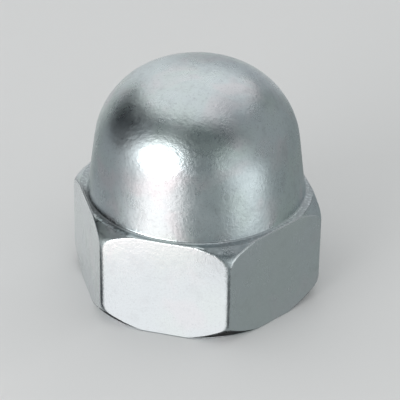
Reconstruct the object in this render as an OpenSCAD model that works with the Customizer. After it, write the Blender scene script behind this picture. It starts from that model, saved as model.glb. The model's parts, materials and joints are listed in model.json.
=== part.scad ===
// Hexagon domed cap nut: one solid piece of plated steel with a blind threaded hole.
// The origin is the centre of the bearing face. The thread's axis is Z and the dome points up.
// Two of the six flats face -Y and +Y, and two corners lie on the X axis.

/* [Hexagon] */
// Width across the flats, which is the spanner size
across_flats = 17; // [16.9:0.1:20]
// Height of the hexagon, from the bearing face to the foot of the dome
hex_h = 8; // [6:0.5:10]
// How far the round land on each upright corner lies inside the sharp corner
corner_trim = 0.1; // [0.05:0.01:0.25]
// Radius where each chamfer rolls into an upright corner
corner_blend_r = 1.2; // [0.3:0.1:1.5]
// Width of the top chamfer at a sharp corner, measured along the radius
top_chamfer_w = 1; // [0.6:0.05:1.3]
// Slope of the top chamfer from the level
top_chamfer_angle = 40; // [20:1:50]
// Width of the bottom chamfer at a sharp corner, measured along the radius
base_chamfer_w = 1.2; // [0.6:0.05:1.8]
// Slope of the bottom chamfer from the level
base_chamfer_angle = 50; // [20:1:60]

/* [Dome] */
// Height of the whole nut, from the bearing face to the top of the dome
total_h = 18; // [16.5:0.5:22]
// Diameter of the dome's wall where it meets the hexagon
dome_d = 16.4; // [14:0.1:16.4]
// Lean of the dome's wall from the upright
dome_draft = 7; // [0:0.5:8]
// Radius of the shoulder, where the wall turns into the crown
shoulder_r = 6.3; // [4:0.1:6.9]
// Radius of the crown over the top
crown_r = 14; // [9:0.1:16]
// Radius of the fillet at the foot of the dome
foot_fillet_r = 0.2; // [0.1:0.05:0.6]

/* [Threaded hole] */
// Nominal diameter of the thread
thread_d = 10; // [8:0.5:11]
// Pitch of the thread
thread_pitch = 1.5; // [1:0.25:1.75]
// Depth of the hole at its full width
hole_depth = 13; // [10:0.5:13.5]
// Length of the relief groove past the end of the thread
relief_w = 5; // [2:0.5:6]
// How much wider than the thread the relief groove is, over its diameter
relief_over = 0.5; // [0.2:0.1:0.8]
// Radius at the relief groove's far corner
relief_corner_r = 0.5; // [0.2:0.1:0.6]
// How much wider than the thread the countersink's mouth is, over its diameter
mouth_over = 0.8; // [0.2:0.1:1.2]
// Full angle of the countersink
mouth_angle = 120; // [90:5:120]
// Full angle of the drill's point at the end of the hole
drill_angle = 118; // [90:1:135]

/* [Hidden] */
$fn = 96;
overrun = 1;                                  // how far a cutting shape passes the surface it cuts
basic_thread_h = thread_pitch * sqrt(3) / 2;  // height of the thread's full triangle
thread_core_r = thread_d / 2 - 5 / 8 * basic_thread_h;
relief_r = (thread_d + relief_over) / 2;
relief_step = relief_r - thread_core_r;
relief_z = hole_depth - relief_w;
mouth_r = (thread_d + mouth_over) / 2;
mouth_slope = 90 - mouth_angle / 2;
mouth_h = (mouth_r - thread_core_r) * tan(mouth_slope);
tip_h = thread_core_r / tan(drill_angle / 2);

sharp_corner_r = across_flats / sqrt(3);
land_r = sharp_corner_r - corner_trim;
top_face_r = sharp_corner_r - top_chamfer_w;
base_face_r = sharp_corner_r - base_chamfer_w;
top_chamfer_h = (land_r - top_face_r) * tan(top_chamfer_angle);
base_chamfer_h = (land_r - base_face_r) * tan(base_chamfer_angle);

// The wall runs up from its foot until it touches the shoulder arc, which touches the crown arc.
wall_foot = [dome_d / 2, hex_h];
wall_up = [-sin(dome_draft), cos(dome_draft)];
wall_out = [cos(dome_draft), sin(dome_draft)];
crown_c = [0, total_h - crown_r];
foot_offset = wall_foot - shoulder_r * wall_out - crown_c;
wall_len = sqrt(pow(foot_offset * wall_up, 2) - foot_offset * foot_offset + pow(crown_r - shoulder_r, 2))
    - foot_offset * wall_up;
wall_top = wall_foot + wall_len * wall_up;
shoulder_c = wall_top - shoulder_r * wall_out;
crown_lean = atan2(shoulder_c.x, shoulder_c.y - crown_c.y);

// The web between a sharp corner and the arc of radius r that touches both of its sides. The sides
// leave the corner at the angles a and b. Added, it is a fillet, and cut away, it rounds a corner.
module web(corner, a, b, r) {
    side_a = [cos(a), sin(a)];
    side_b = [cos(b), sin(b)];
    half = abs(b - a) / 2;
    centre = corner + (side_a + side_b) / norm(side_a + side_b) * r / sin(half);
    tangent = r / tan(half);
    difference() {
        polygon([corner, corner + tangent * side_a, centre, corner + tangent * side_b]);
        translate(centre)
            circle(r);
    }
}

// Half section of the turned outline that trims the hexagon's corners at both ends.
module blank_section() {
    base_corner = [land_r, base_chamfer_h];
    top_corner = [land_r, hex_h - top_chamfer_h];
    difference() {
        polygon([[0, 0], [base_face_r, 0], base_corner, top_corner, [top_face_r, hex_h], [0, hex_h]]);
        web(base_corner, 90, 180 + base_chamfer_angle, corner_blend_r);
        web(top_corner, 180 - top_chamfer_angle, 270, corner_blend_r);
    }
}

// Half section of the dome: a leaning wall, a shoulder arc and a crown arc that meet smoothly.
module dome_section() {
    reach = 2 * total_h;
    crown_edge = crown_c + crown_r * [sin(crown_lean), cos(crown_lean)];
    polygon([[0, 0], wall_foot, wall_top, shoulder_c, crown_c]);
    intersection() {
        translate(shoulder_c)
            circle(shoulder_r);
        square(reach);
    }
    intersection() {
        translate(crown_c)
            circle(crown_r);
        polygon([crown_c, crown_c + reach * (crown_edge - crown_c) / crown_r, [0, reach]]);
    }
    web(wall_foot, 0, 90 + dome_draft, foot_fillet_r);
}

// Half section of the hole: countersunk mouth, thread core, relief groove and drill point.
module hole_section() {
    relief_corner = [relief_r, hole_depth];
    difference() {
        polygon([
            [0, -overrun],
            [mouth_r + overrun / tan(mouth_slope), -overrun],
            [thread_core_r, mouth_h],
            [thread_core_r, relief_z - relief_step],
            [relief_r, relief_z],
            relief_corner,
            [thread_core_r, hole_depth],
            [0, hole_depth + tip_h]
        ]);
        web(relief_corner, 180, 270, relief_corner_r);
    }
}

module cap_nut() {
    color("silver")
        difference() {
            intersection() {
                rotate_extrude() {
                    blank_section();
                    dome_section();
                }
                cylinder(r = sharp_corner_r, h = total_h + overrun, $fn = 6);
            }
            rotate_extrude()
                hole_section();
        }
}

cap_nut();
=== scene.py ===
# %% [markdown]
# # A domed cap nut
#
# This lesson dresses one small steel part: a hexagon nut with a high dome that covers the end of the
# bolt. The solid model gives its size and place. Here the nut is turned, milled and tapped again as a
# fine mesh, gets its satin zinc plate, and is lit so that the metal has something to reflect.

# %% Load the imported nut
import json
import math

import bmesh
import bpy
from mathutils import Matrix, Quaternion, Vector

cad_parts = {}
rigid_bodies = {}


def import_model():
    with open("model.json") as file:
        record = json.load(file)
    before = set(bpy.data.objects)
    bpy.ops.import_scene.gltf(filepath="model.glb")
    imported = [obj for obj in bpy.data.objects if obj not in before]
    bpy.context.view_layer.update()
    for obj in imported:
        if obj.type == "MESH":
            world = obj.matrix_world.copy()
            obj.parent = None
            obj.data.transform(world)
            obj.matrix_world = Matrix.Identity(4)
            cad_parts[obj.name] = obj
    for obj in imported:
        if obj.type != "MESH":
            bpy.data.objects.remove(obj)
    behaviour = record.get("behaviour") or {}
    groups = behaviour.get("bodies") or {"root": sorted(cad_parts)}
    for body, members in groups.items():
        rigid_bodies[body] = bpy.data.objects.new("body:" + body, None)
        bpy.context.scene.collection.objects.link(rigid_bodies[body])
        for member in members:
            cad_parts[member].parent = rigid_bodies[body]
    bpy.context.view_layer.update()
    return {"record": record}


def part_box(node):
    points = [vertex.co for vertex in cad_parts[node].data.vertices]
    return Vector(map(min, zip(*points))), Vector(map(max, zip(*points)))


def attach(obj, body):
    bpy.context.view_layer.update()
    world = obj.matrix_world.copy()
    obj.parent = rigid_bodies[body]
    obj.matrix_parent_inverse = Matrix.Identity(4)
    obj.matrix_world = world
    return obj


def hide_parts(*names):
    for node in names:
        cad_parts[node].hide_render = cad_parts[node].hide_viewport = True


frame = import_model()

# %% [markdown]
# ## Units
#
# Blender's tools have small tolerances that suit objects about a metre in size, and this nut is only
# 18 mm high. So it is modelled on a bench where one Blender unit is one millimetre, and it is scaled to
# metres when it is finished. A real turner also works in millimetres, which keeps the sizes readable.

# %% Sizes taken from the solid model
MM = 0.001
CIRCLE_STEPS = 72

nut_low, nut_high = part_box("cap_nut")
total_h = (nut_high.z - nut_low.z) / MM
flat_r = nut_high.y / MM
land_r = nut_high.x / MM
sharp_corner_r = flat_r / math.cos(math.radians(30))
thread_mount = next(m for m in frame["record"]["mounts"] if m["name"] == "thread")
thread_core_r = thread_mount["dims"]["r_mm"]
print(f"bench sizes: height {total_h:.2f}, flats {2 * flat_r:.2f}, corners {2 * land_r:.2f} mm")

# %% [markdown]
# ## Camera
#
# The camera comes first, because everything after it is judged through it. The nut was photographed
# from the front and a little to its right, about 31 degrees above the bench, with a long lens. The
# camera stands at that angle and distance, is slid a little to the right and down to frame the nut, and
# is rolled by one degree, as the hand-held camera was.

# %% Camera at the photograph's angle
CAMERA_AZIMUTH = math.radians(15.11)
CAMERA_ELEVATION = math.radians(30.82)
CAMERA_ROLL = math.radians(1.025)
CAMERA_DISTANCE = 168.17 * MM
CAMERA_AIM_HEIGHT = 8 * MM
CAMERA_SLIDE_RIGHT = 0.29 * MM
CAMERA_SLIDE_UP = -1.033 * MM
CAMERA_LENS = 200.5
SENSOR_WIDTH = 36

back = Vector((
    math.sin(CAMERA_AZIMUTH) * math.cos(CAMERA_ELEVATION),
    -math.cos(CAMERA_AZIMUTH) * math.cos(CAMERA_ELEVATION),
    math.sin(CAMERA_ELEVATION),
))
right = Vector((math.cos(CAMERA_AZIMUTH), math.sin(CAMERA_AZIMUTH), 0))
up = back.cross(right)
aim = Vector((0, 0, CAMERA_AIM_HEIGHT))

bpy.ops.object.select_all(action="DESELECT")
eye = aim + back * CAMERA_DISTANCE + right * CAMERA_SLIDE_RIGHT + up * CAMERA_SLIDE_UP
bpy.ops.object.camera_add(location=eye)
camera = bpy.context.object
camera.name = "camera"
camera.rotation_mode = "QUATERNION"
camera.rotation_quaternion = Quaternion(back, CAMERA_ROLL) @ (-back).to_track_quat("-Z", "Y")
camera.data.lens = CAMERA_LENS
camera.data.sensor_width = SENSOR_WIDTH
camera.data.clip_start = 0.01
camera.data.clip_end = 10
bpy.context.scene.camera = camera
print("camera at", tuple(camera.location))

# %% [markdown]
# ## Drawing half a section
#
# A turned part is drawn as half of its section and then spun round its axis. By hand, the section is
# drawn in edit mode: one vertex is extruded from corner to corner, and it is spun round a centre where
# the section has an arc. The helpers below do just that. Rounding each corner as it is drawn is cleaner
# than a bevel afterwards, because the arc then has its true radius.

# %% Pencil helpers
pencil = Vector((0, 0))


def pencil_down(name, x, z):
    """Starts a section as a single vertex in the XZ plane, in edit mode."""
    bpy.ops.object.select_all(action="DESELECT")
    bpy.ops.mesh.primitive_plane_add(size=1)
    section = bpy.context.object
    section.name = name
    bpy.ops.object.mode_set(mode="EDIT")
    bpy.ops.mesh.merge(type="CENTER")
    bpy.ops.transform.translate(value=(x, 0, z))
    pencil.xy = x, z
    return section


def line_to(x, z):
    """Extrudes the last vertex to the next corner."""
    bpy.ops.mesh.extrude_vertices_move(TRANSFORM_OT_translate={"value": (x - pencil.x, 0, z - pencil.y)})
    pencil.xy = x, z


def arc_round(centre, degrees, steps):
    """Spins the last vertex round a centre. Positive degrees turn from +X towards +Z."""
    turn = math.radians(degrees)
    bpy.ops.mesh.spin(steps=steps, angle=turn, center=(centre.x, 0, centre.y), axis=(0, 1, 0))
    arm = pencil - centre
    pencil.xy = (
        centre.x + arm.x * math.cos(turn) - arm.y * math.sin(turn),
        centre.y + arm.x * math.sin(turn) + arm.y * math.cos(turn),
    )


def rounded_corner(corner, following, radius, steps):
    """Draws up to a corner and round it, with an arc that touches both sides."""
    corner, following = Vector(corner), Vector(following)
    came_from = (pencil - corner).normalized()
    goes_to = (following - corner).normalized()
    half = came_from.angle(goes_to) / 2
    line_to(*(corner + came_from * radius / math.tan(half)))
    centre = corner + (came_from + goes_to).normalized() * radius / math.sin(half)
    turn = 180 - math.degrees(2 * half)
    side = came_from.x * goes_to.y - came_from.y * goes_to.x
    arc_round(centre, -turn if side > 0 else turn, steps)


# %% [markdown]
# ## The hole's half section
#
# The hole can't be seen while the nut stands on it, but anyone who turns the nut over looks into it. It
# has a countersunk mouth, a stretch at the thread's core diameter, a relief groove where the tap runs
# out, and the cone that the drill's point leaves. Its edges get small rounds, as a cutting tool leaves.

# %% Draw the hole from the drill's point to the mouth
THREAD_D = 10
THREAD_PITCH = 1.5
HOLE_DEPTH = 13
RELIEF_W = 5
RELIEF_R = 5.25
MOUTH_R = 5.4
MOUTH_SLOPE = math.tan(math.radians(30))
DRILL_SLOPE = math.tan(math.radians(59))
STEP_EDGE_R = 0.1
RELIEF_CORNER_R = 0.5
RUN_IN_EDGE_R = 0.15
CORNER_STEPS = 5
EDGE_STEPS = 3

mouth_h = (MOUTH_R - thread_core_r) * MOUTH_SLOPE
relief_z = HOLE_DEPTH - RELIEF_W
relief_run_in_z = relief_z - (RELIEF_R - thread_core_r)

nut = pencil_down("domed_cap_nut", 0, HOLE_DEPTH + thread_core_r / DRILL_SLOPE)
rounded_corner((thread_core_r, HOLE_DEPTH), (RELIEF_R, HOLE_DEPTH), STEP_EDGE_R, EDGE_STEPS)
rounded_corner((RELIEF_R, HOLE_DEPTH), (RELIEF_R, relief_z), RELIEF_CORNER_R, CORNER_STEPS)
rounded_corner((RELIEF_R, relief_z), (thread_core_r, relief_run_in_z), RUN_IN_EDGE_R, EDGE_STEPS)
line_to(thread_core_r, relief_run_in_z)
line_to(thread_core_r, mouth_h)
print("hole drawn down to its mouth")

# %% [markdown]
# ## The outside's half section
#
# The outline goes on along the bearing face, up the bottom chamfer, up the round land that is left on
# each corner of the hexagon, and in over the top chamfer and a narrow level ring to the foot of the dome.
# The chamfers' points are placed by where their rings will meet the flats, in degrees round from the
# middle of a flat. Rings that meet a flat at one of the spin's own steps leave no slivers when the flats
# are milled. Only the tight roll into each corner has two rings between those steps.
#
# A small fillet leads into the dome's wall, which leans in by seven degrees. The crown is flatter than a
# ball: a shoulder arc of 6.3 mm turns into a crown arc of 14 mm, and the two meet smoothly because
# their centres and the meeting point lie on one line.

# %% Sizes of the outside
HEX_H = 8
TOP_CREASE_AT = 15
TOP_SLOPE = math.radians(40)
BASE_CREASE_AT = 10
BASE_SLOPE = math.radians(50)
CORNER_BLEND_R = 1.2
WALL_FOOT_R = 8.2
WALL_LEAN = math.radians(7)
SHOULDER_R = 6.3
CROWN_R = 14
FOOT_FILLET_R = 0.2


def ring_meeting_flat(degrees):
    """The radius of the ring that meets a flat's edge this far round from the flat's middle."""
    return flat_r / math.cos(math.radians(degrees))


top_face_r = ring_meeting_flat(TOP_CREASE_AT)
base_face_r = ring_meeting_flat(BASE_CREASE_AT)
blend_centre_r = land_r - CORNER_BLEND_R
base_corner_z = (land_r - base_face_r) * math.tan(BASE_SLOPE)
base_roll = CORNER_BLEND_R * math.tan(math.pi / 4 - BASE_SLOPE / 2)
base_blend = Vector((blend_centre_r, base_corner_z + base_roll))
top_corner_z = HEX_H - (land_r - top_face_r) * math.tan(TOP_SLOPE)
top_roll = CORNER_BLEND_R * math.tan(math.pi / 4 - TOP_SLOPE / 2)
top_blend = Vector((blend_centre_r, top_corner_z - top_roll))

wall_foot = Vector((WALL_FOOT_R, HEX_H))
wall_up = Vector((-math.sin(WALL_LEAN), math.cos(WALL_LEAN)))
wall_out = Vector((math.cos(WALL_LEAN), math.sin(WALL_LEAN)))
crown_centre = Vector((0, total_h - CROWN_R))
from_crown = wall_foot - SHOULDER_R * wall_out - crown_centre
along = from_crown.dot(wall_up)
wall_length = math.sqrt(along**2 - from_crown.length_squared + (CROWN_R - SHOULDER_R) ** 2) - along
wall_top = wall_foot + wall_length * wall_up
shoulder_centre = wall_top - SHOULDER_R * wall_out
crown_lean = math.atan2(shoulder_centre.x, shoulder_centre.y - crown_centre.y)
print(f"dome: wall {wall_length:.2f} mm long, crown arc {math.degrees(crown_lean):.1f} degrees")


# %% Helpers for the chamfers
def base_chamfer_to(degrees):
    """Draws up the bottom chamfer to the ring that meets a flat this far round."""
    r = ring_meeting_flat(degrees)
    line_to(r, (r - base_face_r) * math.tan(BASE_SLOPE))


def top_chamfer_to(degrees):
    """Draws up the top chamfer to the ring that meets a flat this far round."""
    r = ring_meeting_flat(degrees)
    line_to(r, HEX_H - (r - top_face_r) * math.tan(TOP_SLOPE))


def blend_to(centre, swing):
    """Spins the last vertex round a corner blend to this swing, in radians up from the level."""
    swing_now = math.atan2(pencil.y - centre.y, pencil.x - centre.x)
    arc_round(centre, math.degrees(swing - swing_now), 1)


def swing_at(degrees):
    """How far up or down a corner blend the ring lies that meets a flat this far round."""
    return math.acos((ring_meeting_flat(degrees) - blend_centre_r) / CORNER_BLEND_R)


# %% Draw the hexagon's part of the outline
MOUTH_EDGE_R = 0.08
BASE_CHAMFER_RINGS = (15, 20, 25)
BASE_BLEND_RINGS = (27, 28.2)
TOP_BLEND_RINGS = (28.2, 27, 25)
TOP_CHAMFER_RINGS = (20, TOP_CREASE_AT)

rounded_corner((MOUTH_R, 0), (base_face_r, 0), MOUTH_EDGE_R, EDGE_STEPS)
line_to(base_face_r, 0)
for degrees in BASE_CHAMFER_RINGS:
    base_chamfer_to(degrees)
chamfer_end_r = base_blend.x + CORNER_BLEND_R * math.sin(BASE_SLOPE)
chamfer_end_z = base_blend.y - CORNER_BLEND_R * math.cos(BASE_SLOPE)
line_to(chamfer_end_r, chamfer_end_z)
for degrees in BASE_BLEND_RINGS:
    blend_to(base_blend, -swing_at(degrees))
blend_to(base_blend, 0)
line_to(land_r, top_blend.y)
for degrees in TOP_BLEND_RINGS:
    blend_to(top_blend, swing_at(degrees))
blend_to(top_blend, math.pi / 2 - TOP_SLOPE)
for degrees in TOP_CHAMFER_RINGS:
    top_chamfer_to(degrees)
print(f"hexagon drawn to radius {pencil.x:.3f}, height {pencil.y:.3f}")

# %% Draw the dome's part of the outline
FILLET_STEPS = 6
SHOULDER_STEPS = 18
CROWN_STEPS = 6

rounded_corner(wall_foot, wall_top, FOOT_FILLET_R, FILLET_STEPS)
wall_middle = wall_foot + 0.5 * wall_length * wall_up
line_to(*wall_middle)
line_to(*wall_top)
arc_round(shoulder_centre, 90 - math.degrees(WALL_LEAN + crown_lean), SHOULDER_STEPS)
arc_round(crown_centre, math.degrees(crown_lean), CROWN_STEPS)
print(f"pencil ends at radius {pencil.x:.4f}, height {pencil.y:.4f}")

# %% [markdown]
# ## Turning the blank
#
# The section is spun once round the Z axis. The last step ends where the first began, and both ends of
# the section lie on the axis, so doubles are merged before the normals are made to point outwards.

# %% Spin the section
MERGE_WITHIN = 0.0005

bpy.ops.mesh.select_all(action="SELECT")
bpy.ops.mesh.spin(steps=CIRCLE_STEPS, angle=math.tau, center=(0, 0, 0), axis=(0, 0, 1))
bpy.ops.mesh.select_all(action="SELECT")
bpy.ops.mesh.remove_doubles(threshold=MERGE_WITHIN)
bpy.ops.mesh.normals_make_consistent(inside=False)
bpy.ops.object.mode_set(mode="OBJECT")
print("turned blank:", len(nut.data.vertices), "vertices,", len(nut.data.polygons), "faces")

# %% [markdown]
# ## Milling the flats
#
# Each flat is one cut with Bisect, which keeps what lies inside the plane and closes the cut with a
# face. The chamfers then end in the curved edges that every real nut has, with nothing drawn by hand.

# %% Cut six flats
FLATS = 6
CUT_TOLERANCE = 0.0001


def flat_normal(index):
    """The way that a flat faces. Flats 0 and 3 face -Y and +Y."""
    angle = math.tau * index / FLATS - math.pi / 2
    return Vector((math.cos(angle), math.sin(angle), 0))


bpy.ops.object.mode_set(mode="EDIT")
for index in range(FLATS):
    normal = flat_normal(index)
    bpy.ops.mesh.select_all(action="SELECT")
    bpy.ops.mesh.bisect(
        plane_co=normal * flat_r, plane_no=normal, threshold=CUT_TOLERANCE,
        use_fill=True, clear_outer=True,
    )
bpy.ops.object.mode_set(mode="OBJECT")
print("after milling:", len(nut.data.vertices), "vertices")

# %% [markdown]
# ## Rounding the edges
#
# No edge on plated steel is sharp. A narrow bevel round each flat catches the light as a thin bright
# line, which is what makes the hexagon look solid. The edges are found by their place: they border one
# face that lies in a flat's plane and one that doesn't. The crease where the bottom chamfer meets the
# bearing face gets a smaller bevel afterwards.

# %% Bevel round each flat
EDGE_ROUND = 0.12
CREASE_ROUND = 0.05
WORN_EDGES = "worn_edges"
PARALLEL = 0.9999
IN_PLANE = 0.001
ON_CREASE = 0.02


def lies_in_a_flat(face):
    """True for a face that lies in the plane of one of the flats."""
    normals = [flat_normal(index) for index in range(FLATS)]
    centre = face.calc_center_median()
    return any(face.normal.dot(n) > PARALLEL and abs(centre.dot(n) - flat_r) < IN_PLANE for n in normals)


def lies_on_the_crease(edge):
    """True for an edge where the bottom chamfer meets the bearing face."""
    ends = [v.co for v in edge.verts]
    return all(abs(end.xy.length - base_face_r) < ON_CREASE and abs(end.z) < ON_CREASE for end in ends)


bpy.ops.object.mode_set(mode="EDIT")
bpy.ops.mesh.select_all(action="DESELECT")
bm = bmesh.from_edit_mesh(nut.data)
bm.select_mode = {"EDGE"}
in_flat = {face: lies_in_a_flat(face) for face in bm.faces}
for edge in bm.edges:
    edge.select = len(edge.link_faces) == 2 and in_flat[edge.link_faces[0]] != in_flat[edge.link_faces[1]]
found = sum(edge.select for edge in bm.edges)
print("edges round the flats:", found, "on", sum(in_flat.values()), "flats")
bmesh.update_edit_mesh(nut.data)
bpy.ops.mesh.bevel(
    offset=EDGE_ROUND, segments=4, profile=0.5, affect="EDGES", clamp_overlap=False, loop_slide=True
)
bpy.ops.mesh.select_less()
bpy.ops.object.vertex_group_add()
nut.vertex_groups.active.name = WORN_EDGES
bpy.ops.object.vertex_group_assign()

# %% Bevel the bearing face's crease
bpy.ops.mesh.select_all(action="DESELECT")
bm = bmesh.from_edit_mesh(nut.data)
for edge in bm.edges:
    edge.select = lies_on_the_crease(edge)
print("edges on the crease:", sum(edge.select for edge in bm.edges))
bmesh.update_edit_mesh(nut.data)
bpy.ops.mesh.bevel(offset=CREASE_ROUND, segments=2, profile=0.5, affect="EDGES", clamp_overlap=False)
bpy.ops.object.mode_set(mode="OBJECT")

# %% [markdown]
# ## Tapping the thread
#
# A tap cuts a groove that winds up the bore. Its tooth is drawn as a small section, the Screw modifier
# winds it into a helix, and a Boolean cuts it out of the nut. Cutting is closer to the real work than
# modelling the ridges, and it gives the thread its true run-in at the countersink for nothing.

# %% Wind the tap
TAP_TURNS = 6.9
TAP_START_Z = -1.5
TAP_STEPS_PER_TURN = 96
TOOTH_INNER_R = 4.0
TOOTH_CREST = 0.03

tooth_flank = math.tan(math.radians(30))
tooth_tip = THREAD_PITCH / 16
tooth_base = tooth_tip + (THREAD_D / 2 - TOOTH_INNER_R) * tooth_flank
tap = pencil_down("tap", TOOTH_INNER_R, TAP_START_Z - tooth_base)
line_to(THREAD_D / 2, TAP_START_Z - tooth_tip)
line_to(THREAD_D / 2 + TOOTH_CREST, TAP_START_Z)
line_to(THREAD_D / 2, TAP_START_Z + tooth_tip)
line_to(TOOTH_INNER_R, TAP_START_Z + tooth_base)
bpy.ops.mesh.select_all(action="SELECT")
bpy.ops.mesh.edge_face_add()
bpy.ops.mesh.delete(type="ONLY_FACE")
bpy.ops.object.mode_set(mode="OBJECT")

bpy.ops.object.modifier_add(type="SCREW")
screw = tap.modifiers[-1]
screw.axis = "Z"
screw.angle = math.tau * TAP_TURNS
screw.screw_offset = THREAD_PITCH * TAP_TURNS
screw.steps = screw.render_steps = round(TAP_STEPS_PER_TURN * TAP_TURNS)
bpy.ops.object.modifier_apply(modifier=screw.name)
bpy.ops.object.mode_set(mode="EDIT")
bpy.ops.mesh.select_all(action="DESELECT")
bpy.ops.mesh.select_mode(type="EDGE")
bpy.ops.mesh.select_non_manifold()
bpy.ops.mesh.edge_face_add()
bpy.ops.mesh.select_all(action="SELECT")
bpy.ops.mesh.normals_make_consistent(inside=False)
bpy.ops.object.mode_set(mode="OBJECT")
print("tap:", len(tap.data.vertices), "vertices,", len(tap.data.polygons), "faces")

# %% [markdown]
# Once the groove is cut, the tap goes and the nut is scaled to metres. Weighted normals keep the flats
# looking flat right up to their rounded edges.

# %% Cut the thread and scale the nut to metres
SMOOTH_UP_TO = math.radians(35)

bpy.ops.object.select_all(action="DESELECT")
nut.select_set(True)
bpy.context.view_layer.objects.active = nut
bpy.ops.object.modifier_add(type="BOOLEAN")
tapping = nut.modifiers[-1]
tapping.operation = "DIFFERENCE"
tapping.solver = "EXACT"
tapping.object = tap
bpy.ops.object.modifier_apply(modifier=tapping.name)
bpy.data.objects.remove(tap)

nut.scale = (MM, MM, MM)
bpy.ops.object.transform_apply(location=True, rotation=True, scale=True)
bpy.ops.object.shade_smooth_by_angle(angle=SMOOTH_UP_TO)
bpy.ops.object.modifier_add(type="WEIGHTED_NORMAL")
weighted = nut.modifiers[-1]
weighted.keep_sharp = True
bpy.ops.object.modifier_apply(modifier=weighted.name)
print("threaded nut:", len(nut.data.vertices), "vertices,", len(nut.data.polygons), "faces")

# %% [markdown]
# ## Zinc plate
#
# Zinc that is plated over cold-formed steel isn't a mirror. It has a fine crystal grain, which frays the
# edges of highlights, a gentle waviness from forming, and thin lines drawn along the axis where the
# blank was pushed through its die. Its clear passivate shifts the colour a little between blue, green
# and rose, and leaves faint duller blotches. The level ring round the dome's foot is rougher than the
# rest, and on one side shade is painted into the corner at the dome's foot.
#
# All of this is measured in millimetres on the nut itself. Three node groups are masks, for the painted
# shade at the dome's foot, the level ring and the hole, and three more give the plate its colour, its
# roughness and its relief.

# %% Node helpers
# The Mix node has sockets for every kind of data. These are the numbers of those for colours.
COLOUR_A, COLOUR_B, MIXED_COLOUR = 6, 7, 2


def fade(group, value, at_zero, at_one):
    """Adds a smooth step to a node group: 0 where the value is at_zero, and 1 where it is at_one."""
    step = group.nodes.new("ShaderNodeMapRange")
    step.interpolation_type = "SMOOTHSTEP"
    for socket, end in (("Value", value), ("From Min", at_zero), ("From Max", at_one)):
        if isinstance(end, bpy.types.NodeSocket):
            group.links.new(end, step.inputs[socket])
        else:
            step.inputs[socket].default_value = end
    return step.outputs["Result"]


def calculate(group, operation, first, second=None):
    """Adds a math node to a node group."""
    node = group.nodes.new("ShaderNodeMath")
    node.operation = operation
    for index, value in enumerate((first, second)):
        if isinstance(value, bpy.types.NodeSocket):
            group.links.new(value, node.inputs[index])
        elif value is not None:
            node.inputs[index].default_value = value
    return node.outputs[0]


def measured_group(name, outputs):
    """Starts a node group with its outputs, and gives the place on the nut in millimetres."""
    group = bpy.data.node_groups.new(name, "ShaderNodeTree")
    for socket, kind in outputs.items():
        group.interface.new_socket(socket, in_out="OUTPUT", socket_type=kind)
    place = group.nodes.new("ShaderNodeTexCoord")
    in_mm = group.nodes.new("ShaderNodeVectorMath")
    in_mm.operation = "SCALE"
    in_mm.inputs["Scale"].default_value = 1 / MM
    group.links.new(place.outputs["Object"], in_mm.inputs[0])
    return group, in_mm.outputs[0]


def noise(group, place, size, detail=2.0, stretch=(1, 1, 1), roughness=0.5, distortion=0.0):
    """Adds a noise with features of about this size, in millimetres, stretched along the axes."""
    spread = group.nodes.new("ShaderNodeVectorMath")
    spread.operation = "MULTIPLY"
    spread.inputs[1].default_value = [1 / (size * s) for s in stretch]
    texture = group.nodes.new("ShaderNodeTexNoise")
    texture.inputs["Scale"].default_value = 1
    texture.inputs["Detail"].default_value = detail
    texture.inputs["Roughness"].default_value = roughness
    texture.inputs["Distortion"].default_value = distortion
    group.links.new(place, spread.inputs[0])
    group.links.new(spread.outputs[0], texture.inputs["Vector"])
    return texture.outputs["Fac"]


def blend(group, mask, first, second):
    """Mixes two colours, of which each is a socket or a fixed colour."""
    mix = group.nodes.new("ShaderNodeMix")
    mix.data_type = "RGBA"
    group.links.new(mask, mix.inputs["Factor"])
    for index, colour in ((COLOUR_A, first), (COLOUR_B, second)):
        if isinstance(colour, bpy.types.NodeSocket):
            group.links.new(colour, mix.inputs[index])
        else:
            mix.inputs[index].default_value = (*colour, 1)
    return mix.outputs[MIXED_COLOUR]


def hand_out(group, values):
    """Links values to the group's outputs, by name."""
    leave = group.nodes.new("NodeGroupOutput")
    for socket, value in values.items():
        group.links.new(value, leave.inputs[socket])


def scaled(group, value, amount):
    """Multiplies a value by a number or by another value."""
    return calculate(group, "MULTIPLY", value, amount)


def long_side(group, first, second):
    """The long side of the right triangle with these two short sides."""
    squares = [scaled(group, side, side) for side in (first, second)]
    return calculate(group, "SQRT", calculate(group, "ADD", *squares))


def spots(group, place, size, faint, full, **kind):
    """A mask of soft spots of about this size. Faint and full are where the noise makes it 0 and 1."""
    return fade(group, noise(group, place, size, **kind), faint, full)


def uneven(group, value, place, size, amount, **kind):
    """Adds noise to a distance, so that a mask made from it has a ragged edge."""
    return calculate(group, "ADD", value, scaled(group, noise(group, place, size, **kind), amount))


# %% Helpers for places on the nut
def radius_and_height(group, place):
    """The distance from the nut's axis and the height over the bearing face."""
    split = group.nodes.new("ShaderNodeSeparateXYZ")
    group.links.new(place, split.inputs[0])
    return long_side(group, split.outputs["X"], split.outputs["Y"]), split.outputs["Z"]


def distance_towards(group, place, side):
    """How far a place lies from the nut's axis, measured towards one side."""
    along_side = group.nodes.new("ShaderNodeVectorMath")
    along_side.operation = "DOT_PRODUCT"
    along_side.inputs[1].default_value = side
    group.links.new(place, along_side.inputs[0])
    return along_side.outputs["Value"]


def mask_from(group, mask_tree):
    """The mask that another node group makes."""
    node = group.nodes.new("ShaderNodeGroup")
    node.node_tree = mask_tree
    return node.outputs["Mask"]


def worn_edges(group):
    """1 on the rounded edges, which rubbing brightens."""
    worn = group.nodes.new("ShaderNodeAttribute")
    worn.attribute_name = WORN_EDGES
    return worn.outputs["Fac"]
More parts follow.
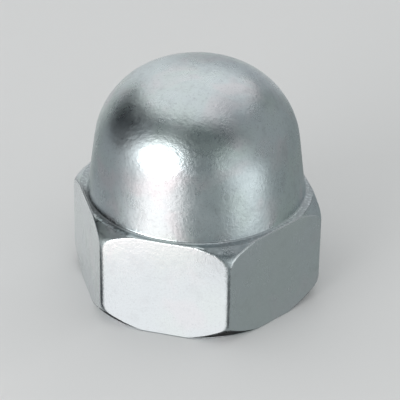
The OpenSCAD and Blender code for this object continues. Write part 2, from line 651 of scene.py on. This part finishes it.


# %% [markdown]
# ### Masks
#
# Shade is painted into the corner between the dome and the level ring, on one side only, and it climbs
# the wall a third as far as it spreads over the ring. The ring is mottled, apart from the side that was
# rubbed smooth. The hole is dull all the way to the drill's point.

# %% Painted shade at the dome's foot, the level ring and the hole, as masks
# Where shade is painted into the corner at the dome's foot, and how far it reaches.
PAINTED_SHADE_SIDE = (-0.731, -0.682, 0)
PAINTED_SHADE_FROM, PAINTED_SHADE_TO = WALL_FOOT_R - 0.35, WALL_FOOT_R + 0.45
PAINTED_SHADE_REACH = 1.35
PAINTED_SHADE_SOLID_WITHIN = 0.8
RAGGED_BY = 1.2
PAINTED_SHADE_SHORTER_ON_WALL = 3.0
RUBBED_SIDE = (-0.172, -0.985, 0)
RUBBED_FROM, UNRUBBED_FROM = WALL_FOOT_R - 0.6, WALL_FOOT_R - 1.6
RING_INSIDE, RING_FULL_FROM = WALL_FOOT_R + 0.02, WALL_FOOT_R + 0.14
RING_FULL_TO, RING_OUTSIDE = top_face_r - 0.02, top_face_r + 0.1
RING_BELOW, RING_LEVEL = HEX_H - 0.07, HEX_H - 0.02
HOLE_OUTSIDE, HOLE_INSIDE = MOUTH_R + 0.02, MOUTH_R - 0.15
DULL_TO, PLAIN_FROM = HOLE_DEPTH + 2.8, HOLE_DEPTH + 3


def painted_foot_shade_group():
    """1 where shade is painted into the corner at the foot of the dome, on one side only."""
    group, place = measured_group("painted_shade_at_the_dome_foot", {"Mask": "NodeSocketFloat"})
    radius, height = radius_and_height(group, place)
    sideways = calculate(group, "SUBTRACT", radius, WALL_FOOT_R)
    upwards = scaled(group, calculate(group, "SUBTRACT", height, HEX_H), PAINTED_SHADE_SHORTER_ON_WALL)
    away = long_side(group, sideways, upwards)
    ragged = uneven(group, away, place, size=0.22, amount=RAGGED_BY, detail=3)
    near = fade(group, ragged, at_zero=PAINTED_SHADE_REACH, at_one=PAINTED_SHADE_SOLID_WITHIN)
    towards = distance_towards(group, place, PAINTED_SHADE_SIDE)
    towards = uneven(group, towards, place, size=1.2, amount=RAGGED_BY)
    on_side = fade(group, towards, at_zero=PAINTED_SHADE_FROM, at_one=PAINTED_SHADE_TO)
    hand_out(group, {"Mask": scaled(group, near, on_side)})
    return group


def ring_group():
    """1 on the level ring and the fillet at the dome's foot, where the turning left a rougher face."""
    group, place = measured_group("level_ring", {"Mask": "NodeSocketFloat"})
    radius, height = radius_and_height(group, place)
    past_wall = fade(group, radius, at_zero=RING_INSIDE, at_one=RING_FULL_FROM)
    before_chamfer = fade(group, radius, at_zero=RING_OUTSIDE, at_one=RING_FULL_TO)
    at_top = fade(group, height, at_zero=RING_BELOW, at_one=RING_LEVEL)
    on_ring = scaled(group, scaled(group, past_wall, before_chamfer), at_top)
    mottled = spots(group, place, size=0.2, faint=0.2, full=0.55, detail=3)
    towards = distance_towards(group, place, RUBBED_SIDE)
    unrubbed = fade(group, towards, at_zero=RUBBED_FROM, at_one=UNRUBBED_FROM)
    hand_out(group, {"Mask": scaled(group, on_ring, scaled(group, mottled, unrubbed))})
    return group


def hole_group():
    """1 inside the hole, where the plate is thinner and duller."""
    group, place = measured_group("inside_the_hole", {"Mask": "NodeSocketFloat"})
    radius, height = radius_and_height(group, place)
    within = fade(group, radius, at_zero=HOLE_OUTSIDE, at_one=HOLE_INSIDE)
    below = fade(group, height, at_zero=PLAIN_FROM, at_one=DULL_TO)
    hand_out(group, {"Mask": scaled(group, within, below)})
    return group


painted_foot_shade_mask = painted_foot_shade_group()
ring_mask = ring_group()
hole_mask = hole_group()
print("masks on the plate:", painted_foot_shade_mask.name, ring_mask.name, hole_mask.name)

# %% [markdown]
# ### Colour, roughness and relief
#
# The colour and the roughness each start from one plain value. Soft spots of noise and the masks are
# then laid over it, each at its own strength. The relief stacks four noises from coarse to fine, each
# with its height in millimetres.

# %% Colour of the plate
PLATE_BLUE = (0.71, 0.775, 0.8)
PLATE_GREEN = (0.71, 0.79, 0.775)
PLATE_ROSE = (0.765, 0.765, 0.79)
PLATE_DULL = (0.45, 0.48, 0.5)
# The colour of the painted shade in the corner at the dome's foot.
PLATE_PAINTED_SHADE = (0.13, 0.14, 0.145)
PLATE_BRIGHT = (0.93, 0.95, 0.96)


def colour_group():
    """The passivate's slow shifts of hue, over them what dulls or brightens the plate, and painted shade
    at the dome's foot.
    """
    group, place = measured_group("plate_colour", {"Color": "NodeSocketColor"})
    to_green = spots(group, place, size=4.5, faint=0.42, full=0.66, detail=2)
    to_rose = spots(group, place, size=3.1, faint=0.5, full=0.72, detail=2, distortion=0.4)
    freckles = spots(group, place, size=0.16, faint=0.53, full=0.72, detail=3, roughness=0.6)
    blotches = spots(group, place, size=0.8, faint=0.48, full=0.7, detail=3, roughness=0.6)
    hue = blend(group, to_green, PLATE_BLUE, PLATE_GREEN)
    hue = blend(group, to_rose, hue, PLATE_ROSE)
    layers = (
        (freckles, 0.45, PLATE_DULL),
        (blotches, 0.24, PLATE_DULL),
        (mask_from(group, ring_mask), 0.85, PLATE_DULL),
        # Painted shade in the corner at the dome's foot.
        (mask_from(group, painted_foot_shade_mask), 0.9, PLATE_PAINTED_SHADE),
        (mask_from(group, hole_mask), 0.55, PLATE_DULL),
        (worn_edges(group), 0.5, PLATE_BRIGHT),
    )
    for mask, strength, colour in layers:
        hue = blend(group, scaled(group, mask, strength), hue, colour)
    hand_out(group, {"Color": hue})
    return group


# %% Roughness of the plate
PLATE_ROUGHNESS = 0.255


def roughness_group():
    """Duller in slow patches, in the hole and on the level ring, and smoother where edges rub."""
    group, place = measured_group("plate_roughness", {"Roughness": "NodeSocketFloat"})
    patches = spots(group, place, size=1.8, faint=0.3, full=0.7, detail=3)
    lines = spots(group, place, size=0.12, faint=0.35, full=0.7, detail=2, stretch=(1, 1, 40))
    layers = (
        (patches, 0.07),
        (lines, 0.04),
        (mask_from(group, hole_mask), 0.12),
        (mask_from(group, ring_mask), 0.25),
        (worn_edges(group), -0.08),
    )
    rough = PLATE_ROUGHNESS
    for mask, rougher_by in layers:
        rough = calculate(group, "ADD", rough, scaled(group, mask, rougher_by))
    hand_out(group, {"Roughness": rough})
    return group


# %% Relief of the plate
WAVE_HEIGHT = 0.016
FROST_HEIGHT = 0.015
LINE_HEIGHT = 0.0007
GRAIN_HEIGHT = 0.008


def grain_group():
    """Crystal grain, frosty patches, drawn lines and the waviness left by forming."""
    group, place = measured_group("plate_grain", {"Normal": "NodeSocketVector"})
    layers = (
        (noise(group, place, size=1.4, detail=2), WAVE_HEIGHT),
        (noise(group, place, size=0.26, detail=2), FROST_HEIGHT),
        (noise(group, place, size=0.14, detail=1, stretch=(1, 1, 30)), LINE_HEIGHT),
        (noise(group, place, size=0.09, detail=2, roughness=0.6), GRAIN_HEIGHT),
    )
    normal = None
    for height, depth in layers:
        bump = group.nodes.new("ShaderNodeBump")
        bump.inputs["Distance"].default_value = depth * MM
        group.links.new(height, bump.inputs["Height"])
        if normal:
            group.links.new(normal, bump.inputs["Normal"])
        normal = bump.outputs["Normal"]
    hand_out(group, {"Normal": normal})
    return group


# %% [markdown]
# The three looks go into one metal. The nut rides on the record's only body and stands for the plain
# solid.

# %% Zinc plate material
zinc = bpy.data.materials.new("zinc_plated_steel")
zinc.use_nodes = True
zinc_nodes, zinc_links = zinc.node_tree.nodes, zinc.node_tree.links
plate = zinc_nodes["Principled BSDF"]
plate.inputs["Metallic"].default_value = 1
looks = (
    (colour_group, "Color", "Base Color"),
    (roughness_group, "Roughness", "Roughness"),
    (grain_group, "Normal", "Normal"),
)
for make_group, output, socket in looks:
    look = zinc_nodes.new("ShaderNodeGroup")
    look.node_tree = make_group()
    zinc_links.new(look.outputs[output], plate.inputs[socket])
nut.data.materials.append(zinc)
print("plate:", [group.name for group in bpy.data.node_groups])

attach(nut, "root")
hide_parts("cap_nut")

# %% [markdown]
# ## Floor
#
# The nut stands on a pale floor, which keeps its shadow. Someone may also look into the thread from
# below, so the floor is clear from its underside, and it has a round opening under the nut that lets
# light into the hole. The nut covers the opening from above.

# %% Floor
FLOOR_GREY = (0.68, 0.68, 0.68, 1)
FLOOR_ROUGHNESS = 0.9
FLOOR_R = 3
FLOOR_OPENING_R = 8.4 * MM
FLOOR_STEPS = 96
FLOOR_DROP = 0.02 * MM

bpy.ops.object.select_all(action="DESELECT")
bpy.ops.mesh.primitive_circle_add(
    vertices=FLOOR_STEPS, radius=FLOOR_OPENING_R, location=(0, 0, -FLOOR_DROP)
)
floor = bpy.context.object
floor.name = "floor"
bpy.ops.object.mode_set(mode="EDIT")
bpy.ops.mesh.select_all(action="SELECT")
bpy.ops.mesh.extrude_edges_move()
bpy.ops.transform.resize(value=(FLOOR_R / FLOOR_OPENING_R, FLOOR_R / FLOOR_OPENING_R, 1))
bpy.ops.mesh.select_all(action="SELECT")
bpy.ops.mesh.normals_make_consistent(inside=True)
bpy.ops.object.mode_set(mode="OBJECT")
print("floor faces up:", floor.data.polygons[0].normal.z > 0)

floor_paint = bpy.data.materials.new("pale_floor")
floor_paint.use_nodes = True
floor_nodes, floor_links = floor_paint.node_tree.nodes, floor_paint.node_tree.links
floor_shader = floor_nodes["Principled BSDF"]
floor_shader.inputs["Base Color"].default_value = FLOOR_GREY
floor_shader.inputs["Roughness"].default_value = FLOOR_ROUGHNESS
side = floor_nodes.new("ShaderNodeNewGeometry")
clear = floor_nodes.new("ShaderNodeBsdfTransparent")
either = floor_nodes.new("ShaderNodeMixShader")
floor_links.new(side.outputs["Backfacing"], either.inputs["Fac"])
floor_links.new(floor_shader.outputs[0], either.inputs[1])
floor_links.new(clear.outputs[0], either.inputs[2])
floor_links.new(either.outputs[0], floor_nodes["Material Output"].inputs["Surface"])
floor.data.materials.append(floor_paint)

# %% [markdown]
# ## World and key lamp
#
# Bare metal shows what is round it, so its look is made by the set. The world is a plain pale tent, and
# one round softbox stands at the camera's left and gives the hot highlight. On the floor its light is
# turned down a little, so that the nut's shadow stays faint.

# %% World and softbox
WORLD_GREY = (0.83, 0.845, 0.845, 1)

world = bpy.data.worlds.new("tent")
bpy.context.scene.world = world
world.use_nodes = True
world.node_tree.nodes["Background"].inputs["Color"].default_value = WORLD_GREY
world.cycles.sampling_method = "NONE"


def around(azimuth, elevation, distance):
    """A point round the nut. Azimuth 0 is the camera's side and 90 is to its right."""
    a = CAMERA_AZIMUTH + math.radians(azimuth)
    e = math.radians(elevation)
    return Vector((math.sin(a) * math.cos(e), -math.cos(a) * math.cos(e), math.sin(e))) * distance


def softbox(name, azimuth, elevation, distance, width, height, power):
    """An area lamp that faces the nut."""
    place = around(azimuth, elevation, distance)
    bpy.ops.object.light_add(type="AREA", location=place)
    lamp = bpy.context.object
    lamp.name = name
    lamp.rotation_mode = "QUATERNION"
    lamp.rotation_quaternion = place.to_track_quat("Z", "Y")
    lamp.data.shape = "ELLIPSE"
    lamp.data.size = width
    lamp.data.size_y = height
    lamp.data.energy = power
    return lamp


KEY_ON_FLOOR = 0.6

key = softbox("key", azimuth=-41, elevation=16, distance=0.4, width=0.31, height=0.25, power=0.7)
key.data.diffuse_factor = KEY_ON_FLOOR
print("key lamp at", tuple(key.location))

# %% [markdown]
# ## Cards
#
# Grey and black cards stand and hang round the nut and draw the dark bands on the dome. Sheets lie on the
# floor: white ones in front brighten the front flat from below, small dark ones lie at two corners, and a
# wide darker one round the nut's right side is painted shadow of the nut on the floor.
# Each of them fades out towards its edges, because a hard edge would show in the metal as a line. A node
# group makes the fade for the straight cards, and another one for sectors and rings. They are there for
# reflections only: the camera doesn't see them, and they neither light nor shade the floor.

# %% Masks for the cards
HALF_SIDE = 0.5
RADIAL_FADE = 0.8


def mask_group(name, controls):
    """Starts a node group that makes a mask from its controls and the object's coordinates."""
    group = bpy.data.node_groups.new(name, "ShaderNodeTree")
    for socket in controls:
        group.interface.new_socket(socket, in_out="INPUT", socket_type="NodeSocketFloat")
    group.interface.new_socket("Mask", in_out="OUTPUT", socket_type="NodeSocketFloat")
    place = group.nodes.new("ShaderNodeTexCoord")
    split = group.nodes.new("ShaderNodeSeparateXYZ")
    group.links.new(place.outputs["Object"], split.inputs[0])
    return group, group.nodes.new("NodeGroupInput").outputs, split.outputs


def sheet_group():
    """1 inside a sheet that is one unit wide and high, and 0 at its four edges."""
    group, control, at = mask_group("soft_sheet", ["Softness"])
    inside = [
        calculate(group, "SUBTRACT", HALF_SIDE, calculate(group, "ABSOLUTE", at[axis])) for axis in "XY"
    ]
    edges = [fade(group, distance, 0, control["Softness"]) for distance in inside]
    hand_out(group, {"Mask": scaled(group, *edges)})
    return group


def sector_group():
    """1 inside a sector round the object's X axis, between two radii."""
    controls = ["Softness", "Half angle", "Inner radius", "Outer radius"]
    group, control, at = mask_group("soft_sector", controls)
    softness, half_angle, inner_radius, outer_radius = (control[name] for name in controls)
    bearing = calculate(group, "ABSOLUTE", calculate(group, "ARCTAN2", at["Y"], at["X"]))
    outside = calculate(group, "ADD", half_angle, softness)
    inside = calculate(group, "SUBTRACT", half_angle, softness)
    round_nut = fade(group, bearing, outside, inside)
    reach = long_side(group, at["X"], at["Y"])
    starts = fade(group, reach, scaled(group, inner_radius, RADIAL_FADE), inner_radius)
    ends = fade(group, reach, outer_radius, scaled(group, outer_radius, RADIAL_FADE))
    hand_out(group, {"Mask": scaled(group, round_nut, scaled(group, starts, ends))})
    return group


sheet_mask = sheet_group()
sector_mask = sector_group()
print("masks for the cards:", sheet_mask.name, "and", sector_mask.name)

# %% Helpers for the cards
SHEET_GAP = 0.02 * MM


def card_material(name, level, mask_tree, mask_values):
    """A card's own grey, as plain light that fades out towards its edges."""
    material = bpy.data.materials.new(name)
    material.use_nodes = True
    nodes = material.node_tree.nodes
    paper = nodes["Principled BSDF"]
    paper.inputs["Base Color"].default_value = (0, 0, 0, 1)
    paper.inputs["Specular IOR Level"].default_value = 0
    paper.inputs["Emission Color"].default_value = (*level, 1)
    paper.inputs["Emission Strength"].default_value = 1
    mask = nodes.new("ShaderNodeGroup")
    mask.node_tree = mask_tree
    for socket, value in mask_values.items():
        mask.inputs[socket].default_value = value
    material.node_tree.links.new(mask.outputs["Mask"], paper.inputs["Alpha"])
    material.cycles.emission_sampling = "NONE"
    return material


def only_in_reflections(sheet, material):
    """Finishes a card, which the camera doesn't see and which casts no shadow on the floor."""
    sheet.data.materials.append(material)
    sheet.visible_camera = False
    sheet.visible_diffuse = False
    sheet.visible_shadow = False


def card(name, azimuth, elevation, distance, width, height, level, softness, roll=0):
    """A card that stands or hangs round the nut and faces it."""
    place = around(azimuth, elevation, distance)
    bpy.ops.object.select_all(action="DESELECT")
    bpy.ops.mesh.primitive_plane_add(size=1, location=place)
    sheet = bpy.context.object
    sheet.name = name
    sheet.rotation_mode = "QUATERNION"
    rolled = Quaternion(place.normalized(), math.radians(roll))
    sheet.rotation_quaternion = rolled @ place.to_track_quat("Z", "Y")
    sheet.scale = (width, height, 1)
    only_in_reflections(sheet, card_material(name, level, sheet_mask, {"Softness": softness}))


def lying_sector(name, apex, azimuth, half_angle, inner, outer, layer, level, softness):
    """A sector that lies on the floor round its apex. A higher layer lies over a lower one."""
    bpy.ops.object.select_all(action="DESELECT")
    bpy.ops.mesh.primitive_circle_add(
        radius=outer, fill_type="NGON", location=apex + Vector((0, 0, layer * SHEET_GAP)),
        rotation=(0, 0, CAMERA_AZIMUTH + math.radians(azimuth) - math.pi / 2),
    )
    sheet = bpy.context.object
    sheet.name = name
    mask_values = {
        "Softness": math.radians(softness),
        "Half angle": math.radians(half_angle),
        "Inner radius": inner,
        "Outer radius": outer,
    }
    only_in_reflections(sheet, card_material(name, level, sector_mask, mask_values))


# %% [markdown]
# Each card has an azimuth and an elevation in degrees, a distance, a width and a height in metres, its
# own grey, and the softness of its edges.

# %% Standing and hanging cards
card("front_card", 4, 20, 0.7, 3.0, 1.85, (0.15, 0.17, 0.175), 0.14)
card("band_card", 6, 53, 0.5, 0.7, 0.3, (0.055, 0.07, 0.075), 0.45)
card("right_card", 92, 10, 0.6, 1.5, 1.1, (0.3, 0.32, 0.325), 0.2)
card("upper_right_card", 104, 62, 0.45, 0.62, 0.34, (0.36, 0.38, 0.4), 0.5)
card("fill_card", 42, 4, 0.5, 0.54, 0.72, (0.7, 0.74, 0.74), 0.4)
card("left_card", -138, 0, 0.6, 0.6, 0.7, (0.34, 0.36, 0.37), 0.3)
card("black_card", -107, 16, 0.5, 0.62, 0.62, (0.008, 0.01, 0.013), 0.3, roll=10)
card("dark_corner_card", -94, 44, 0.45, 0.32, 0.2, (0.045, 0.05, 0.055), 0.4)
card("back_left_card", -162, 12, 0.45, 0.38, 0.42, (0.74, 0.76, 0.76), 0.4)
card("back_right_card", 163, 2, 0.48, 0.5, 0.6, (0.4, 0.42, 0.44), 0.35)
standing = [thing.name for thing in bpy.context.scene.objects if thing.name.endswith("_card")]
print("cards that stand or hang:", standing)

# %% [markdown]
# Each sheet on the floor has its apex, the azimuth of its middle and half its angle in degrees, its inner
# and outer radius in metres, its layer, its own grey, and its softness in degrees.

# %% Sheets on the floor
FAR = 0.6
SHADE_INNER_R = 0.0086

nut_foot = Vector((0, 0, 0))
behind_foot = around(azimuth=135, elevation=0, distance=0.0015)
left_corner = around(azimuth=-45, elevation=0, distance=sharp_corner_r * MM)
right_corner = around(azimuth=15, elevation=0, distance=sharp_corner_r * MM)

# Painted shadow: a darker sheet where the nut's shadow lies on the floor round its right side, seen only
# in reflections.
lying_sector("painted_shadow_floor", nut_foot, 60, 95, SHADE_INNER_R, FAR, 1, (0.25, 0.275, 0.275), 10)
lying_sector("left_floor", nut_foot, -105, 33, 0.024, FAR, 2, (0.28, 0.3, 0.31), 10)
lying_sector("fill_floor", nut_foot, 52, 17, 0.032, FAR, 3, (1.0, 1.05, 1.05), 10)
lying_sector("white_floor", nut_foot, -35, 20, 0.022, FAR, 4, (1.38, 1.28, 1.26), 8)
lying_sector("white_sheet", behind_foot, -18.5, 26.5, 0.006, 0.024, 5, (0.93, 0.93, 0.94), 4)
lying_sector("left_corner_sheet", left_corner, -97, 27, 0.0001, 0.016, 6, (0.05, 0.055, 0.06), 6)
lying_sector("right_corner_sheet", right_corner, 31, 18, 0.0001, 0.014, 7, (0.03, 0.03, 0.035), 4)
lying = [thing.name for thing in bpy.context.scene.objects if thing.name.endswith(("_floor", "_sheet"))]
print("sheets on the floor:", lying)

# %% [markdown]
# Close under the hexagon the floor lies in the nut's own shade, and the bottom chamfer shows it as a dark
# band. A dark sheet in the hexagon's own shape stands in for that shade. Last comes the tent's wall: a
# wide grey disc with a round opening over the nut and behind it. Its edge draws the pale patch's outline
# on top of the dome.

# %% Shade under the nut, and the tent's wall
WHOLE_TURN = {"Softness": 0.1, "Half angle": math.tau}
SHADE_LAYER = 8
SHADE_LEVEL = (0.02, 0.02, 0.02)
TENT_LEVEL = (0.14, 0.16, 0.165)
TENT_R = 4
TENT_OPENING_R = 0.5

bpy.ops.object.select_all(action="DESELECT")
bpy.ops.mesh.primitive_circle_add(
    vertices=FLATS, radius=sharp_corner_r * MM, fill_type="NGON",
    location=(0, 0, SHADE_LAYER * SHEET_GAP), rotation=(0, 0, math.pi / 2),
)
shade = bpy.context.object
shade.name = "shade_under_the_nut"
only_in_reflections(shade, card_material(shade.name, SHADE_LEVEL, sector_mask, {
    **WHOLE_TURN, "Inner radius": SHADE_INNER_R, "Outer radius": FAR,
}))

place = around(azimuth=180, elevation=65, distance=0.5)
bpy.ops.object.select_all(action="DESELECT")
bpy.ops.mesh.primitive_circle_add(radius=TENT_R, fill_type="NGON", location=place)
tent_wall = bpy.context.object
tent_wall.name = "tent_wall"
tent_wall.rotation_mode = "QUATERNION"
tent_wall.rotation_quaternion = place.to_track_quat("Z", "Y")
only_in_reflections(tent_wall, card_material(tent_wall.name, TENT_LEVEL, sector_mask, {
    **WHOLE_TURN, "Inner radius": TENT_OPENING_R, "Outer radius": TENT_R,
}))

# %% [markdown]
# The picture keeps the scene's own greys, so the view transform is Standard.

# %% Finish
bpy.context.scene.view_settings.view_transform = "Standard"
